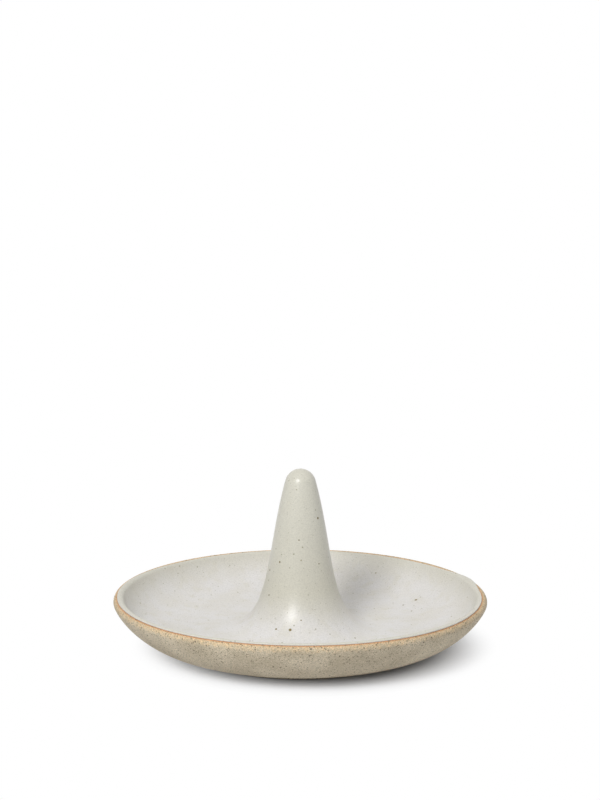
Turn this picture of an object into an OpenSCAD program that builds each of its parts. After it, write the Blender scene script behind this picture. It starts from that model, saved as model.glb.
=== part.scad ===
// Ring dish: a thrown stoneware dish, with a ring cone luted to its floor and a glazed inside.
// Every piece turns about the Z axis, and the foot ring stands on the plane z = 0.

/* [Dish] */
// Outer diameter of the dish
dish_d = 120; // [114:1:128]
// Height of the clay rim above the table
rim_h = 17.9; // [16.5:0.1:21]
// Thickness of the rounded rim
rim_t = 3.2; // [2.8:0.1:3.6]
// Height of the finished floor above the table
floor_h = 6.4; // [6:0.1:7.2]

/* [Foot ring] */
// Outer diameter of the turned foot ring
foot_d = 71; // [64:1:74]
// Width of the foot ring
foot_w = 3.5; // [2.6:0.1:5]
// Height of the foot ring below the underside
foot_h = 1.9; // [1.5:0.1:2.2]

/* [Ring cone] */
// Height of the cone's tip above the table
tip_h = 59.2; // [52:0.1:66]
// Diameter of the round tip
tip_d = 10; // [8.6:0.1:11]
// Diameter where the sides begin to flare
waist_d = 21.2; // [19.6:0.1:23]
// Height where the sides begin to flare
waist_h = 26; // [24:0.5:28]
// Diameter where the flare runs out into the floor
flare_d = 52; // [50:1:56]
// Diameter of the vent bored up the middle from below
vent_d = 6; // [4:0.5:7]

/* [Glaze] */
// Thickness of the fired glaze
glaze_t = 0.4; // [0.3:0.05:0.5]
// Where the glaze stops on the rim, in degrees: 0 is its outside, 90 its top
glaze_edge = 105; // [92:1:125]

/* [Hidden] */

clay = "#B5AD96";
pale_clay = "#C6BA9C";
wet_slip = "#A39884";
off_white = "#DBDAD5";

// Steps of a full turn, and of each kind of curve in the outlines
turn_steps = 180;
curve_steps = 20;
arc_steps = 8;
rim_steps = 15;

// The rim is a full round, and the bowl's curve meets it on its inner side
rim_r = rim_t / 2;
rim_c = [dish_d / 2 - rim_r, rim_h - rim_r];
rim_outer = -24;
rim_inner = 156;

// The foot ring, with worn edges and a turned fillet where it meets the underside
foot_r = foot_d / 2;
foot_edge = 0.5;
foot_fillet = 1;

// The finished inside, from the tip out to the rim
tip_r = tip_d / 2;
tip_c = [0, tip_h - tip_r];
tip_taper = 15.5;
waist_taper = 11;
side_pull = (tip_h - tip_r - waist_h) * 0.35;
waist = [waist_d / 2, waist_h];
flare_end = [flare_d / 2, floor_h];
flare_drop = (waist_h - floor_h) * 0.43;
flare_run = (flare_d - waist_d) * 0.34;
bowl_run = (dish_d - flare_d) * 0.285;
bowl_rise = (rim_h - floor_h) * 0.78;
wall_run = (dish_d - foot_d) * 0.26;
wall_rise = (rim_h - foot_h) * 0.315;

// The cone stands in a shallow scored seat on a layer of slip
seat_drop = 0.6;
seat_h = floor_h - glaze_t - seat_drop;
slip_t = 0.4;
coil_start = 13;

vent_r = vent_d / 2;
vent_top = waist_h + (tip_h - waist_h) * 0.5;

function heading(angle) = [cos(angle), sin(angle)];
function down_slope(taper) = heading(taper - 90);
function reversed(line) = [for (i = [len(line) - 1:-1:0]) line[i]];
function part_of(line, first, last) = [for (i = [first:last]) line[i]];
function after_first(line) = part_of(line, 1, len(line) - 1);

// Points of an arc round a centre, from one angle to another
function arc(centre, radius, from, to, steps = arc_steps) =
    [for (i = [0:steps]) centre + radius * heading(from + (to - from) * i / steps)];

// Points of a cubic curve, moved by depth to the right of the way it runs
function curve(p, depth = 0, steps = curve_steps) = [
    for (i = [0:steps])
        let (
            t = i / steps,
            s = 1 - t,
            point = s^3 * p[0] + 3 * s^2 * t * p[1] + 3 * s * t^2 * p[2] + t^3 * p[3],
            way = s^2 * (p[1] - p[0]) + 2 * s * t * (p[2] - p[1]) + t^2 * (p[3] - p[2])
        )
        point + depth * [way.y, -way.x] / norm(way)
];

// Stretches of the inside: depth 0 is the glaze's face, and depth glaze_t the clay's
function tip_line(depth) = arc(tip_c, tip_r - depth, 90, tip_taper);

function side_line(depth) =
    let (top = tip_c + tip_r * heading(tip_taper))
    curve([top, top + side_pull * down_slope(tip_taper), waist - side_pull * down_slope(waist_taper), waist], depth);

function flare_line(depth) =
    curve([waist, waist + flare_drop * down_slope(waist_taper), flare_end - [flare_run, 0], flare_end], depth);

function bowl_line(depth) =
    let (end = rim_c + (rim_r + glaze_t) * heading(rim_inner))
    curve([flare_end, flare_end + [bowl_run, 0], end - bowl_rise * heading(rim_inner - 90), end], depth);

function rim_line(depth) = arc(rim_c, rim_r + glaze_t - depth, rim_inner, glaze_edge);

function inside_line(depth) = concat(
    tip_line(depth),
    after_first(side_line(depth)),
    after_first(flare_line(depth)),
    after_first(bowl_line(depth)),
    after_first(rim_line(depth))
);

// The outside, from the vent across the recess and foot ring and up to the rim
function foot_line() =
    let (inner = foot_r - foot_w)
    concat(
        [[vent_r, foot_h]],
        arc([inner - foot_fillet, foot_h - foot_fillet], foot_fillet, 90, 0),
        arc([inner + foot_edge, foot_edge], foot_edge, 180, 270),
        arc([foot_r - foot_edge, foot_edge], foot_edge, 270, 360),
        arc([foot_r + foot_fillet, foot_h - foot_fillet], foot_fillet, 180, 90)
    );

function wall_line() =
    let (start = [foot_r + foot_fillet, foot_h], end = rim_c + rim_r * heading(rim_outer))
    curve([start, start + [wall_run, 0], end - wall_rise * heading(rim_outer + 90), end]);

module turned(outline) {
    rotate_extrude($fn = turn_steps)
        polygon(outline);
}

// Thrown dish, turned underneath, with the scored seat for the cone
module dish() {
    color(clay)
        turned(concat(
            foot_line(),
            after_first(wall_line()),
            after_first(arc(rim_c, rim_r, rim_outer, rim_inner, rim_steps)),
            after_first(reversed(bowl_line(glaze_t))),
            [[flare_d / 2, seat_h], [vent_r, seat_h]]
        ));
}

// Cone with its own spread foot and a vent that stops short of the tip
module cone() {
    skin = flare_line(glaze_t);
    foot = skin[coil_start];
    color(pale_clay)
        turned(concat(
            tip_line(glaze_t),
            after_first(side_line(glaze_t)),
            part_of(skin, 1, coil_start),
            [[foot.x, seat_h + slip_t], [vent_r, seat_h + slip_t]],
            arc([0, vent_top - vent_r], vent_r, 0, 90)
        ));
}

// Slip between the cone's foot and the scored seat
module joint_slip() {
    foot = flare_line(glaze_t)[coil_start];
    color(wet_slip)
        turned([[vent_r, seat_h], [foot.x, seat_h], [foot.x, seat_h + slip_t], [vent_r, seat_h + slip_t]]);
}

// Coil of soft clay pressed round the cone's foot and smoothed out to the floor
module joint_coil() {
    skin = part_of(flare_line(glaze_t), coil_start, curve_steps);
    color(clay)
        turned(concat(skin, [[flare_d / 2, seat_h], [skin[0].x, seat_h]]));
}

// One coat of glaze over the cone, the coil and the bowl, ending in a bead on the rim
module glaze() {
    bead_c = rim_c + (rim_r + glaze_t / 2) * heading(glaze_edge);
    color(off_white)
        turned(concat(
            inside_line(0),
            after_first(arc(bead_c, glaze_t / 2, glaze_edge, glaze_edge - 180)),
            after_first(reversed(inside_line(glaze_t)))
        ));
}

dish();
cone();
joint_slip();
joint_coil();
glaze();
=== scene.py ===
"""Ring dish: a thrown stoneware dish with a ring cone, satin glaze inside and bare clay outside."""
import math

import bmesh
import bpy
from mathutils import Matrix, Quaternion, Vector, noise


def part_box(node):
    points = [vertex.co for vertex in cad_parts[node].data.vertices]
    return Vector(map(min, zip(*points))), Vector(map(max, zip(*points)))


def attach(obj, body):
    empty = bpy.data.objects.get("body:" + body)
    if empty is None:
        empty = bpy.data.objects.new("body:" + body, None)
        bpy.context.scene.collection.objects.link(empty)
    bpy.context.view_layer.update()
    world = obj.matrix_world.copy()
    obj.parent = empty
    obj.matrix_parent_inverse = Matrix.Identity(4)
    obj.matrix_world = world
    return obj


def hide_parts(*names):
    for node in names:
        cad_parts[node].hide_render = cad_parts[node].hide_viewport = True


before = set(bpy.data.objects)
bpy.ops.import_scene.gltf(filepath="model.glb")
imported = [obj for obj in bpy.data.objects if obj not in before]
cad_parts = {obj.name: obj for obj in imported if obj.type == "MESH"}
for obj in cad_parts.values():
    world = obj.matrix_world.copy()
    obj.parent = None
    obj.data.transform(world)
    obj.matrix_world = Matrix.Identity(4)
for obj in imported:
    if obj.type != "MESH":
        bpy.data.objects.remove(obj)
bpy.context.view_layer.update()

# Sizes are in millimetres, as on the solids, and Blender works in metres
MM = 0.001
DISH_BOX = [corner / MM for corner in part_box("dish")]
CONE_BOX = [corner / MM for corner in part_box("cone")]
COIL_BOX = [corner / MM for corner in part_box("joint_coil")]
GLAZE_BOX = [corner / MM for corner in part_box("glaze")]
DISH_R = DISH_BOX[1].x
RIM_H = DISH_BOX[1].z
TIP_H = GLAZE_BOX[1].z
GLAZE_T = TIP_H - CONE_BOX[1].z
FLARE_R = COIL_BOX[1].x
# The coil stands in a seat, which is this much lower than the clay's floor round it
SEAT_H = COIL_BOX[0].z
SEAT_DROP = 0.6
FLOOR_H = SEAT_H + SEAT_DROP + GLAZE_T

# The rim is a full round, on which angles run from its outside, 0, over its top, 90
RIM_R = 1.6
RIM_C = Vector((DISH_R - RIM_R, RIM_H - RIM_R))
RIM_OUTER = -24
RIM_INNER = 156
RIM_TOP = 90

FOOT_R = 35.5
FOOT_W = 3.5
FOOT_H = 1.9
FOOT_EDGE = 0.5
FOOT_FILLET = 1
VENT_R = 3
VENT_EDGE = 0.4

TIP_R = 5
TIP_C = Vector((0, TIP_H - TIP_R))
TIP_TAPER = 15.5
WAIST_TAPER = 11
WAIST = Vector((10.6, 26))
SIDE_PULL = (TIP_H - TIP_R - WAIST.y) * 0.35
FLARE_END = Vector((FLARE_R, FLOOR_H))
FLARE_DROP = (WAIST.y - FLOOR_H) * 0.43
FLARE_RUN = (FLARE_R - WAIST.x) * 0.68
BOWL_RUN = (DISH_R - FLARE_R) * 0.57
BOWL_RISE = (RIM_H - FLOOR_H) * 0.78
WALL_RUN = (DISH_R - FOOT_R) * 0.52
WALL_RISE = (RIM_H - FOOT_H) * 0.315

# The recess under the dish keeps the marks of the turning tool
MARK_PITCH = 2.2
MARK_DEPTH = 0.07
MARK_STEP = 0.4

# The rim of a dish thrown by hand rises and falls this much, over about this far
UNEVEN = 0.15
UNEVEN_SPREAD = 45

# Steps of a full turn, and of each kind of arc and curve in the outlines
TURN_STEPS = 288
TIP_STEPS = 12
CURVE_STEPS = 30
BOWL_STEPS = 60
WALL_STEPS = 44
RIM_STEPS = 30
GLAZED_RIM_STEPS = 16
BEAD_STEPS = 8
FILLET_STEPS = 6
FOOT_EDGE_STEPS = 5
VENT_EDGE_STEPS = 4

# Corners closer than this are one, and a point this near a face lies on it
SAME = 0.001
NEAR = 0.01

# Where the glaze stops on the rim's round. It wanders round the dish: each wave is its size in
# degrees, its peak's azimuth and its count in a turn.
EDGE_MEAN = 96
EDGE_WAVES = ((36, 83, 1), (3.4, 49, 2), (8, 20, 3), (2, 64, 5))
# At the right a drip has run over the rim: its azimuth, its width and how far it reaches, in degrees
DRIP_AZIMUTH = 19
DRIP_WIDTH = 8.5
DRIP_REACH = 44
# The coat is first turned with its edge here all round
NOMINAL_EDGE = 105

# The viewer's side is -Y. The camera is this far from the middle of the foot, in millimetres, and
# this high and rolled this much, in degrees. Its picture, its focal length and the place where it
# shows the middle of the foot are in pixels.
CAMERA_DISTANCE = 900
CAMERA_ELEVATION = 16.16
CAMERA_ROLL = 0.09
PICTURE_W = 600
PICTURE_H = 800
FOCAL_PX = 2776.5
FOOT_PX = Vector((300.6, 647.9))


def heading(angle):
    """The direction at an angle in degrees, from straight out, 0, to straight up, 90."""
    return Vector((math.cos(math.radians(angle)), math.sin(math.radians(angle))))


def down_slope(taper):
    """The way down a side that leans by taper degrees."""
    return heading(taper - 90)


def arc(centre, radius, start, end, steps):
    """Points of an arc round a centre, from one angle to another."""
    return [centre + radius * heading(start + (end - start) * i / steps) for i in range(steps + 1)]


def curve(p, depth=0, steps=CURVE_STEPS):
    """Points of a cubic curve, moved by depth to the right of the way it runs."""
    points = []
    for i in range(steps + 1):
        t = i / steps
        s = 1 - t
        point = s**3 * p[0] + 3 * s**2 * t * p[1] + 3 * s * t**2 * p[2] + t**3 * p[3]
        way = s**2 * (p[1] - p[0]) + 2 * s * t * (p[2] - p[1]) + t**2 * (p[3] - p[2])
        points.append(point + depth * Vector((way.y, -way.x)).normalized())
    return points


def inside_line(depth):
    """The inside from the tip to the rim: depth 0 is the glaze's face, and GLAZE_T the clay's."""
    top = TIP_C + TIP_R * heading(TIP_TAPER)
    end = RIM_C + (RIM_R + GLAZE_T) * heading(RIM_INNER)
    side = [top, top + SIDE_PULL * down_slope(TIP_TAPER), WAIST - SIDE_PULL * down_slope(WAIST_TAPER), WAIST]
    flare_handle = FLARE_END - Vector((FLARE_RUN, 0))
    flare = [WAIST, WAIST + FLARE_DROP * down_slope(WAIST_TAPER), flare_handle, FLARE_END]
    bowl = [FLARE_END, FLARE_END + Vector((BOWL_RUN, 0)), end - BOWL_RISE * heading(RIM_INNER - 90), end]
    return (
        arc(TIP_C, TIP_R - depth, 90, TIP_TAPER, TIP_STEPS)
        + curve(side, depth)[1:]
        + curve(flare, depth)[1:]
        + curve(bowl, depth, BOWL_STEPS)[1:]
        + arc(RIM_C, RIM_R + GLAZE_T - depth, RIM_INNER, NOMINAL_EDGE, GLAZED_RIM_STEPS)[1:]
    )


def foot_line():
    """The underside from the vent across the marked recess and over the foot ring."""
    inner = FOOT_R - FOOT_W
    start = VENT_R + VENT_EDGE
    end = inner - FOOT_FILLET
    count = round((end - start) / MARK_STEP)
    recess = []
    for i in range(1, count):
        out = start + (end - start) * i / count
        dip = MARK_DEPTH * (0.5 - 0.5 * math.cos(math.tau * (out - start) / MARK_PITCH))
        recess.append(Vector((out, FOOT_H + dip)))
    return (
        arc(Vector((start, FOOT_H + VENT_EDGE)), VENT_EDGE, 180, 270, VENT_EDGE_STEPS)
        + recess
        + arc(Vector((end, FOOT_H - FOOT_FILLET)), FOOT_FILLET, 90, 0, FILLET_STEPS)
        + arc(Vector((inner + FOOT_EDGE, FOOT_EDGE)), FOOT_EDGE, 180, 270, FOOT_EDGE_STEPS)
        + arc(Vector((FOOT_R - FOOT_EDGE, FOOT_EDGE)), FOOT_EDGE, 270, 360, FOOT_EDGE_STEPS)
        + arc(Vector((FOOT_R + FOOT_FILLET, FOOT_H - FOOT_FILLET)), FOOT_FILLET, 180, 90, FILLET_STEPS)
    )


def wall_line():
    """The outside from the foot ring up to the rim's round."""
    start = Vector((FOOT_R + FOOT_FILLET, FOOT_H))
    end = RIM_C + RIM_R * heading(RIM_OUTER)
    handles = [start, start + Vector((WALL_RUN, 0)), end - WALL_RISE * heading(RIM_OUTER + 90), end]
    return curve(handles, steps=WALL_STEPS)


def azimuth_of(point):
    """The azimuth of a point round the dish, in degrees."""
    return math.degrees(math.atan2(point.y, point.x))


def edge_angle(azimuth):
    """Where the glaze stops on the rim's round at an azimuth, in degrees."""
    angle = EDGE_MEAN
    for size, peak, count in EDGE_WAVES:
        angle += size * math.cos(math.radians(count * (azimuth - peak)))
    away = (azimuth - DRIP_AZIMUTH + 180) % 360 - 180
    return angle - DRIP_REACH * math.exp(-((away / DRIP_WIDTH) ** 2))


def lengths_to_top(outline):
    """How far each point has to go along the outline to the highest one, below 0 once past it."""
    heights = [p.y for p in outline]
    highest = heights.index(max(heights))
    lengths = []
    for i in range(len(outline)):
        first, last = sorted((i, highest))
        length = sum((outline[k + 1] - outline[k]).length for k in range(first, last))
        lengths.append(length if i < highest else -length)
    return lengths


def turned(outline, lengths=()):
    """Turns an outline, in millimetres out and up, about Z: a quarter turn, mirrored twice.

    The outline runs from axis to axis or else is closed. Where each point is given a length, the
    vertex layer from_glaze holds it.
    """
    bm = bmesh.new()
    if lengths:
        bm.verts.layers.float.new("from_glaze")
    verts = [bm.verts.new((p.x * MM, 0, p.y * MM)) for p in outline]
    for vert, length in zip(verts, lengths):
        vert[bm.verts.layers.float["from_glaze"]] = length
    ends = [] if outline[0].x == 0 else [(verts[-1], verts[0])]
    edges = [bm.edges.new(pair) for pair in list(zip(verts, verts[1:])) + ends]
    quarter = {"angle": math.tau / 4, "steps": TURN_STEPS // 4}
    bmesh.ops.spin(bm, geom=verts + edges, cent=(0, 0, 0), axis=(0, 0, 1), **quarter)
    for axis in "XY":
        geom = bm.verts[:] + bm.edges[:] + bm.faces[:]
        bmesh.ops.mirror(bm, geom=geom, merge_dist=SAME * MM, axis=axis)
    bmesh.ops.remove_doubles(bm, verts=bm.verts, dist=SAME * MM)
    return bm


def make_uneven(bm):
    """Gives the clay and its glaze the same slight unevenness, which leaves the foot flat."""
    for vert in bm.verts:
        out = math.hypot(vert.co.x, vert.co.y) / MM
        share = min(out / DISH_R, 1) ** 2
        wave = noise.noise(Vector((vert.co.x, vert.co.y, 0)) / (UNEVEN_SPREAD * MM))
        above_foot = min(vert.co.z / (FOOT_H * MM), 1)
        vert.co.z += UNEVEN * MM * share * wave * above_foot


def piece_from(bm, name, material, slot, *nodes):
    """Makes the piece, which rides on the dish's one body and stands for its CAD nodes."""
    bmesh.ops.recalc_face_normals(bm, faces=bm.faces)
    for face in bm.faces:
        face.smooth = True
    mesh = bpy.data.meshes.new(name)
    bm.to_mesh(mesh)
    bm.free()
    piece = bpy.data.objects.new(name, mesh)
    bpy.context.scene.collection.objects.link(piece)
    mesh.materials.append(material)
    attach(piece, "root")
    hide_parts(*nodes)


def stoneware_dish(material):
    """The dish: one thrown wall of clay with its rim, turned foot ring, seat and vent."""
    rim = arc(RIM_C, RIM_R, RIM_OUTER, RIM_INNER, RIM_STEPS)
    bowl = [p for p in reversed(inside_line(GLAZE_T)) if FLARE_R <= p.x and p.y < rim[-1].y]
    seat = [Vector((FLARE_R, SEAT_H)), Vector((VENT_R, SEAT_H))]
    outline = foot_line() + wall_line()[1:] + rim[1:] + bowl + seat
    bm = turned(outline, lengths_to_top(outline))
    # The lengths are to run to the glaze's edge instead of to the rim's top
    from_glaze = bm.verts.layers.float["from_glaze"]
    for vert in bm.verts:
        vert[from_glaze] -= RIM_R * math.radians(RIM_TOP - edge_angle(azimuth_of(vert.co)))
    make_uneven(bm)
    piece_from(bm, "stoneware_dish", material, "stoneware", "dish")


def glaze_coat(material):
    """One coat of glaze over cone and bowl, whose beaded edge wanders on the rim."""
    bead_c = RIM_C + (RIM_R + GLAZE_T / 2) * heading(NOMINAL_EDGE)
    bead = arc(bead_c, GLAZE_T / 2, NOMINAL_EDGE, NOMINAL_EDGE - 180, BEAD_STEPS)
    bm = turned(inside_line(0) + bead[1:] + list(reversed(inside_line(GLAZE_T)))[1:])
    for vert in bm.verts:
        flat = Vector((math.hypot(vert.co.x, vert.co.y), vert.co.z)) / MM - RIM_C
        angle = math.degrees(math.atan2(flat.y, flat.x))
        if not 0 < angle < RIM_INNER or flat.length > RIM_R + GLAZE_T + NEAR:
            continue
        # The coat is stretched or shortened on the rim's round, and the bead moves with its edge
        azimuth = azimuth_of(vert.co)
        edge = edge_angle(azimuth)
        if angle > NOMINAL_EDGE:
            angle = RIM_INNER + (angle - RIM_INNER) * (RIM_INNER - edge) / (RIM_INNER - NOMINAL_EDGE)
        else:
            angle += edge - NOMINAL_EDGE
        flat = RIM_C + flat.length * heading(angle)
        around = heading(azimuth)
        vert.co = Vector((flat.x * around.x, flat.x * around.y, flat.y)) * MM
    make_uneven(bm)
    piece_from(bm, "glaze_coat", material, "glaze", "glaze")


def colour(code):
    """An sRGB hex code as the linear colour that a shader takes."""
    parts = [int(code[i:i + 2], 16) / 255 for i in (1, 3, 5)]
    return [p / 12.92 if p <= 0.04045 else ((p + 0.055) / 1.055) ** 2.4 for p in parts] + [1]


def feed(tree, node, inputs):
    """Gives a node's inputs values or links.

    An input is named, or numbered from 0, among those that the node's settings leave in use, and a
    node given as a value stands for its first output in use.
    """
    used = [socket for socket in node.inputs if socket.enabled]
    for key, value in inputs.items():
        socket = used[key] if isinstance(key, int) else next(s for s in used if s.name == key)
        if isinstance(value, bpy.types.Node):
            value = next(output for output in value.outputs if output.enabled)
        if isinstance(value, bpy.types.NodeSocket):
            tree.links.new(value, socket)
        else:
            socket.default_value = value


def add(tree, kind, inputs=(), **settings):
    """Adds a node with its settings and what feeds it."""
    made = tree.nodes.new("ShaderNode" + kind)
    for name, value in settings.items():
        setattr(made, name, value)
    feed(tree, made, dict(inputs))
    return made


# Settings that turn a Map Range node's change smooth, and make a Mix node mix colours
SMOOTH = {"interpolation_type": "SMOOTHSTEP"}
COLOURS = {"data_type": "RGBA"}


def patches(tree, place, size, detail, start, end, low=0, high=1):
    """Cloudy patches about size millimetres across, which ease from low to high between two shades."""
    cloud = add(tree, "TexNoise", {"Vector": place, "Scale": 1 / (size * MM), "Detail": detail})
    inputs = {"Value": cloud, "From Min": start, "From Max": end, "To Min": low, "To Max": high}
    return add(tree, "MapRange", inputs, **SMOOTH)


def with_grains(tree, place, base, size, darkest, lightest):
    """The colour base, made darker and lighter by grains about size millimetres across."""
    grain = patches(tree, place, size, detail=2, start=0.25, end=0.75, low=darkest, high=lightest)
    return add(tree, "Mix", {"Factor": 1, "A": base, "B": grain}, blend_type="MULTIPLY", **COLOURS)


# A speck fades out over this share of its largest radius
SPECK_FADE = 0.4


def with_specks(tree, place, base, spacing, radius, share, strength, tone):
    """The colour base with round specks of one tone, as strongly as told.

    The pattern's cells are spacing millimetres wide. A share of them hold a speck of between half
    the radius, in millimetres, and all of it.
    """
    largest = radius / spacing
    cells = add(tree, "TexVoronoi", {"Vector": place, "Scale": 1 / (spacing * MM)})
    lot = add(tree, "SeparateColor", {"Color": cells.outputs["Color"]})
    reach = add(tree, "MapRange", {"Value": lot.outputs["Green"], "To Min": largest / 2, "To Max": largest})
    depth = add(tree, "Math", {0: reach, 1: cells.outputs["Distance"]}, operation="SUBTRACT")
    inside = add(tree, "MapRange", {"Value": depth, "From Max": SPECK_FADE * largest}, **SMOOTH)
    chosen = add(tree, "Math", {0: lot.outputs["Red"], 1: share}, operation="LESS_THAN")
    speck = add(tree, "Math", {0: inside, 1: chosen}, operation="MULTIPLY")
    shown = add(tree, "Math", {0: speck, 1: strength}, operation="MULTIPLY")
    return add(tree, "Mix", {"Factor": shown, "A": base, "B": colour(tone)}, **COLOURS)


def bumps(tree, place, size, detail, height):
    """The bumps of a skin whose grains are about size across and height high, in millimetres."""
    grain = add(tree, "TexNoise", {"Vector": place, "Scale": 1 / (size * MM), "Detail": detail})
    return add(tree, "Bump", {"Height": grain, "Distance": height * MM})


def new_material(name):
    """An empty material and its tree, with the surface shader and the place on the piece."""
    material = bpy.data.materials.new(name)
    material.use_nodes = True
    tree = material.node_tree
    shader = tree.nodes["Principled BSDF"]
    place = add(tree, "TexCoord").outputs["Object"]
    return material, tree, shader, place


# The toasted band along the glaze: its colour, and between which distances from the glaze it fades
# out, in millimetres. A fray adds to the distance: its most, its patches' size and their detail.
TOAST = "#D9BF98"
TOAST_START = 2.4
TOAST_END = 5.6
TOAST_FRAY = 5
FRAY_SIZE = 1.1
FRAY_DETAIL = 4
# The flash of colour next to the glaze: where it fades, in millimetres, and how strong it is
FLASH = "#C8875A"
FLASH_START = 0.1
FLASH_END = 0.9
FLASH_STRENGTH = 0.8


def with_toasted_rim(tree, place, base):
    """The colour base with the warm tan band that the kiln leaves on the rim, and its orange flash."""
    away = add(tree, "Attribute", attribute_name="from_glaze").outputs["Fac"]
    cloud = add(tree, "TexNoise", {"Vector": place, "Scale": 1 / (FRAY_SIZE * MM), "Detail": FRAY_DETAIL})
    frayed = add(tree, "Math", {0: cloud, 1: TOAST_FRAY, 2: away}, operation="MULTIPLY_ADD")
    fade = {"From Min": TOAST_START, "From Max": TOAST_END, "To Min": 1, "To Max": 0}
    toast = add(tree, "MapRange", {"Value": frayed, **fade}, **SMOOTH)
    body = add(tree, "Mix", {"Factor": toast, "A": base, "B": colour(TOAST)}, **COLOURS)
    fade = {"From Min": FLASH_START, "From Max": FLASH_END, "To Min": FLASH_STRENGTH, "To Max": 0}
    flash = add(tree, "MapRange", {"Value": away, **fade}, **SMOOTH)
    return add(tree, "Mix", {"Factor": flash, "A": body, "B": colour(FLASH)}, **COLOURS)


# Specks in the clay: their spacing and largest radius in millimetres, the share of the cells that
# hold one, how strongly it shows, and its colour
CLAY_SPECKS = (
    (0.8, 0.34, 0.85, 0.75, "#6B6250"),
    (2.2, 0.42, 0.55, 0.8, "#4F4636"),
)
CLAY_ROUGHNESS = 0.85


def bare_stoneware(name, light, dark, toasted=False):
    """Speckled stoneware clay, thrown and fired bare.

    It is matt and sandy, buff grey with dense iron specks. Where it is toasted, its rim has a warm
    tan band with a fuzzy lower edge, and a thin orange flash along the glaze.
    """
    material, tree, shader, place = new_material(name)
    shade = patches(tree, place, size=12, detail=2, start=0.35, end=0.65)
    body = add(tree, "Mix", {"Factor": shade, "A": colour(dark), "B": colour(light)}, **COLOURS)
    if toasted:
        body = with_toasted_rim(tree, place, body)
    # The finest sand is too fine to show, so its grains are drawn a third of a millimetre across
    body = with_grains(tree, place, body, size=0.34, darkest=0.7, lightest=1.26)
    for spacing, radius, share, strength, tone in CLAY_SPECKS:
        body = with_specks(tree, place, body, spacing, radius, share, strength, tone)
    skin = bumps(tree, place, size=0.4, detail=3, height=0.12)
    feed(tree, shader, {"Base Color": body, "Roughness": CLAY_ROUGHNESS, "Normal": skin})
    return material


# The coat's own two shades; its warmer tone up the cone, darkened there as painted shade; and its tone in
# faint blotches
GLAZE_LIGHT = "#DCDAD8"
GLAZE_DARK = "#D8D5CF"
CONE_TONE_AND_SHADE = "#D1CEC0"
GLAZE_BLOTCH = "#CFCBBC"
# Heights between which the coat turns to the cone's warmer tone and painted shade, and how far from the
# middle its sheen goes from the cone's to the bowl's, in millimetres
CONE_TONE_START = 9
CONE_TONE_END = 22
SHEEN_START = 4
SHEEN_END = 34
CONE_ROUGHNESS = 0.29
BOWL_ROUGHNESS = 0.52

# Specks in the glaze, written like the clay's
GLAZE_SPECKS = (
    (0.9, 0.26, 0.6, 0.34, "#8E8A72"),
    (2.2, 0.34, 0.5, 0.7, "#8B8764"),
    (6, 0.45, 0.35, 0.75, "#8A7F4C"),
)

# Larger iron spots in the glaze, where the photograph shows them: azimuth in degrees, and in
# millimetres how far along the inside from the cone's tip, and how far across
IRON_SPOTS = (
    (-101, 53.3, 0.9),
    (-117, 53.5, 0.6),
    (35.5, 85.2, 0.9),
    (36.5, 80.3, 0.6),
    (27, 79, 0.5),
    (-41, 18.1, 0.7),
    (-132, 32.1, 0.6),
    (-159, 35.7, 0.6),
    (-53, 32.5, 0.4),
    (-145, 43.3, 0.5),
    (-89, 50, 0.4),
    (-93, 24.5, 0.4),
    (-37, 59.6, 0.5),
    (-135, 60.4, 0.5),
)
IRON = "#6C5A08"
# A spot is solid up to this share of its width from its middle, and has faded out at the other
SPOT_CORE = 0.3
SPOT_EDGE = 0.72


def along_inside(length):
    """The point of the glazed inside's outline that lies this far along it from the tip."""
    line = inside_line(0)
    for here, after in zip(line, line[1:]):
        step = (after - here).length
        if length < step:
            return here.lerp(after, length / step)
        length -= step
    return line[-1]


def with_iron_spot(tree, place, base, azimuth, length, across):
    """The colour base with one round iron spot."""
    point = along_inside(length)
    around = heading(azimuth)
    centre = Vector((point.x * around.x, point.x * around.y, point.y)) * MM
    away = add(tree, "VectorMath", {0: place, 1: centre}, operation="DISTANCE")
    fade = {"Value": away, "From Min": SPOT_EDGE * across * MM, "From Max": SPOT_CORE * across * MM}
    spot = add(tree, "MapRange", fade, **SMOOTH)
    return add(tree, "Mix", {"Factor": spot, "A": base, "B": colour(IRON)}, **COLOURS)


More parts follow.
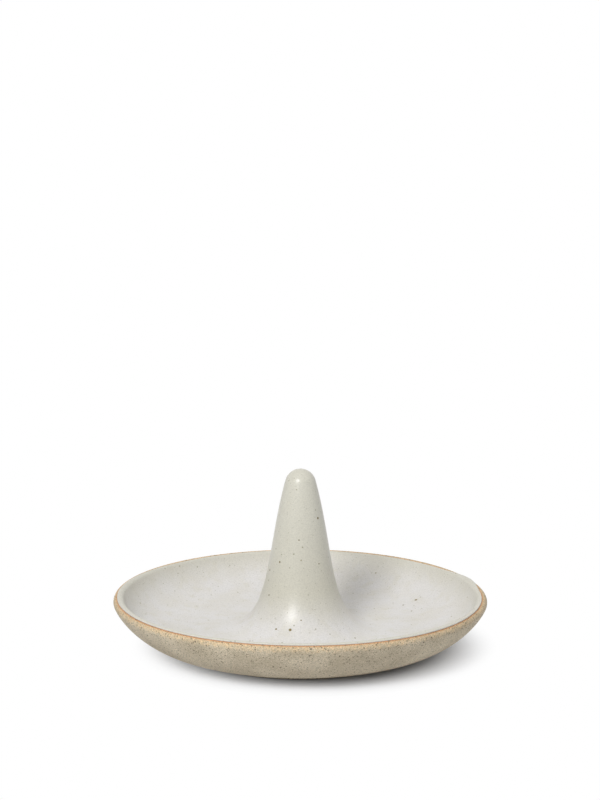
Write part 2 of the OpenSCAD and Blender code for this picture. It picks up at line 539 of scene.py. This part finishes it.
def satin_glaze(name):
    """Satin stoneware glaze, one dipped coat.

    It is off-white with faint warm clouds, small specks that bleed up from the clay, a few larger
    iron spots, and a soft sheen. Up the cone it is warmer, and darker as painted shade.
    """
    material, tree, shader, place = new_material(name)
    shade = patches(tree, place, size=9, detail=2, start=0.3, end=0.7)
    coat = add(tree, "Mix", {"Factor": shade, "A": colour(GLAZE_DARK), "B": colour(GLAZE_LIGHT)}, **COLOURS)
    # Up the cone the coat turns warmer and darker: the warmth is its own, the darkening is painted shade
    height = add(tree, "SeparateXYZ", {"Vector": place}).outputs["Z"]
    rise = {"Value": height, "From Min": CONE_TONE_START * MM, "From Max": CONE_TONE_END * MM}
    warm_and_shade = add(tree, "MapRange", rise, **SMOOTH)
    coat = add(tree, "Mix", {"Factor": warm_and_shade, "A": coat, "B": colour(CONE_TONE_AND_SHADE)}, **COLOURS)
    blotch = patches(tree, place, size=3.5, detail=3, start=0.5, end=0.75, high=0.4)
    coat = add(tree, "Mix", {"Factor": blotch, "A": coat, "B": colour(GLAZE_BLOTCH)}, **COLOURS)
    # The clay's sand shows faintly through the coat
    coat = with_grains(tree, place, coat, size=0.4, darkest=0.93, lightest=1.06)
    for spacing, radius, share, strength, tone in GLAZE_SPECKS:
        coat = with_specks(tree, place, coat, spacing, radius, share, strength, tone)
    for azimuth, length, across in IRON_SPOTS:
        coat = with_iron_spot(tree, place, coat, azimuth, length, across)
    flat = add(tree, "VectorMath", {0: place, 1: (1, 1, 0)}, operation="MULTIPLY")
    out = add(tree, "VectorMath", {0: flat}, operation="LENGTH")
    run = {"Value": out, "From Min": SHEEN_START * MM, "From Max": SHEEN_END * MM}
    sheen = add(tree, "MapRange", {**run, "To Min": CONE_ROUGHNESS, "To Max": BOWL_ROUGHNESS}, **SMOOTH)
    skin = bumps(tree, place, size=1.2, detail=2, height=0.01)
    feed(tree, shader, {"Base Color": coat, "Roughness": sheen, "Normal": skin})
    return material


def dress_nodes():
    """Gives the carried-over CAD nodes, which show only up the vent, their fired clay."""
    cone_clay = bare_stoneware("bare_stoneware_cone", "#C6BA9C", "#B8AC90")
    joint_clay = bare_stoneware("bare_stoneware_joint", "#A99F88", "#988D76")
    for name, material in (("cone", cone_clay), ("joint_slip", joint_clay), ("joint_coil", joint_clay)):
        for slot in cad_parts[name].material_slots:
            slot.material = material


# The floor is a disc of this radius in metres, with this many sides
FLOOR_R = 3
FLOOR_SIDES = 96
PAPER = "#F3F7FF"
WHITE = (1, 1, 1, 1)
# Round the middle of the dish's shadow it glows white between these radii in millimetres, a painted light
# that cuts the real shadow off there
SHADE_MIDDLE = (4.5, 5, 0)
WHITE_START = 38
WHITE_END = 60


def white_for_viewers(tree):
    """Says 1 for the rays that show the background: camera, mirror and glass rays."""
    path = add(tree, "LightPath")
    seen = path.outputs["Is Camera Ray"]
    for kind in ("Is Glossy Ray", "Is Transmission Ray"):
        seen = add(tree, "Math", {0: seen, 1: path.outputs[kind]}, operation="MAXIMUM")
    return seen


def white_paper():
    """Matt white paper, a hair cooler than the lamps, with a painted white glow away from the dish that
    hides the far part of its shadow.
    """
    material, tree, shader, place = new_material("white_paper")
    feed(tree, shader, {"Base Color": colour(PAPER), "Roughness": 1, "Specular IOR Level": 0})
    middle = Vector(SHADE_MIDDLE) * MM
    out = add(tree, "VectorMath", {0: place, 1: middle}, operation="DISTANCE")
    run = {"Value": out, "From Min": WHITE_START * MM, "From Max": WHITE_END * MM}
    away = add(tree, "MapRange", run, **SMOOTH)
    # The painted white glow, for the viewer's rays, grows out from the shadow's middle
    factor = add(tree, "Math", {0: white_for_viewers(tree), 1: away}, operation="MULTIPLY")
    glow = add(tree, "Emission", {"Color": WHITE, "Strength": 1})
    mixed = add(tree, "MixShader", {0: factor, 1: shader, 2: glow})
    feed(tree, tree.nodes["Material Output"], {"Surface": mixed})
    return material


def lay_floor():
    """A white floor, which keeps the dish's shadow close to the dish; further out a painted glow makes it
    plain white.
    """
    bm = bmesh.new()
    bmesh.ops.create_circle(bm, cap_ends=True, segments=FLOOR_SIDES, radius=FLOOR_R)
    mesh = bpy.data.meshes.new("floor")
    bm.to_mesh(mesh)
    bm.free()
    mesh.materials.append(white_paper())
    floor = bpy.data.objects.new("floor", mesh)
    bpy.context.scene.collection.objects.link(floor)


# Lamps: azimuth from the viewer's side towards the right, elevation, size in metres, and the
# share of a colour's written value that the lamp alone gives on what faces it
LAMPS = {
    "key": (-24, 38, 0.34, 0.6),
    "right": (95, 30, 0.9, 0.12),
    "top": (0, 86, 0.9, 0.24),
    "back": (180, 45, 0.9, 0.16),
}
# The lamps' distance in metres, and how bright the sky is to what it lights
LAMP_DISTANCE = 1.2
SKY_LEVEL = 0.2


def hang_lamps():
    """Soft boxes round the dish, each aimed at it, of which the glaze mirrors only the key light."""
    for name, (azimuth, elevation, size, share) in LAMPS.items():
        data = bpy.data.lights.new(name, "AREA")
        data.shape = "SQUARE"
        data.size = size
        data.energy = share * math.pi**2 * LAMP_DISTANCE**2
        lamp = bpy.data.objects.new(name, data)
        lamp.visible_glossy = name == "key"
        flat = math.cos(math.radians(elevation))
        way = Vector((
            math.sin(math.radians(azimuth)) * flat,
            -math.cos(math.radians(azimuth)) * flat,
            math.sin(math.radians(elevation)),
        ))
        lamp.location = LAMP_DISTANCE * way
        lamp.rotation_euler = way.to_track_quat("Z", "Y").to_euler()
        bpy.context.scene.collection.objects.link(lamp)


def make_sky():
    """An even pale studio all round, which the viewer sees as white."""
    world = bpy.data.worlds.new("studio")
    world.use_nodes = True
    tree = world.node_tree
    level = add(tree, "MapRange", {"Value": white_for_viewers(tree), "To Min": SKY_LEVEL, "To Max": 1})
    feed(tree, tree.nodes["Background"], {"Color": WHITE, "Strength": level})
    bpy.context.scene.world = world


def stand_camera():
    """Stands the camera in the photograph's place, then turns it so that the foot shows at its pixel."""
    data = bpy.data.cameras.new("camera")
    data.lens = FOCAL_PX / PICTURE_H * data.sensor_width
    camera = bpy.data.objects.new("camera", data)
    elevation = math.radians(CAMERA_ELEVATION)
    way = Vector((0, -math.cos(elevation), math.sin(elevation)))
    camera.location = CAMERA_DISTANCE * MM * way
    foot = Vector((FOOT_PX.x - PICTURE_W / 2, PICTURE_H / 2 - FOOT_PX.y, -FOCAL_PX))
    past = Vector((0, 0, -1)).rotation_difference(foot)
    roll = Quaternion((0, 0, 1), math.radians(CAMERA_ROLL))
    camera.rotation_mode = "QUATERNION"
    camera.rotation_quaternion = way.to_track_quat("Z", "Y") @ past.inverted() @ roll
    bpy.context.scene.collection.objects.link(camera)
    bpy.context.scene.camera = camera


stoneware_dish(bare_stoneware("bare_stoneware", "#CBBDA3", "#B9AB91", toasted=True))
glaze_coat(satin_glaze("satin_glaze"))
dress_nodes()
lay_floor()
hang_lamps()
make_sky()
stand_camera()
bpy.context.scene.view_settings.view_transform = "Standard"
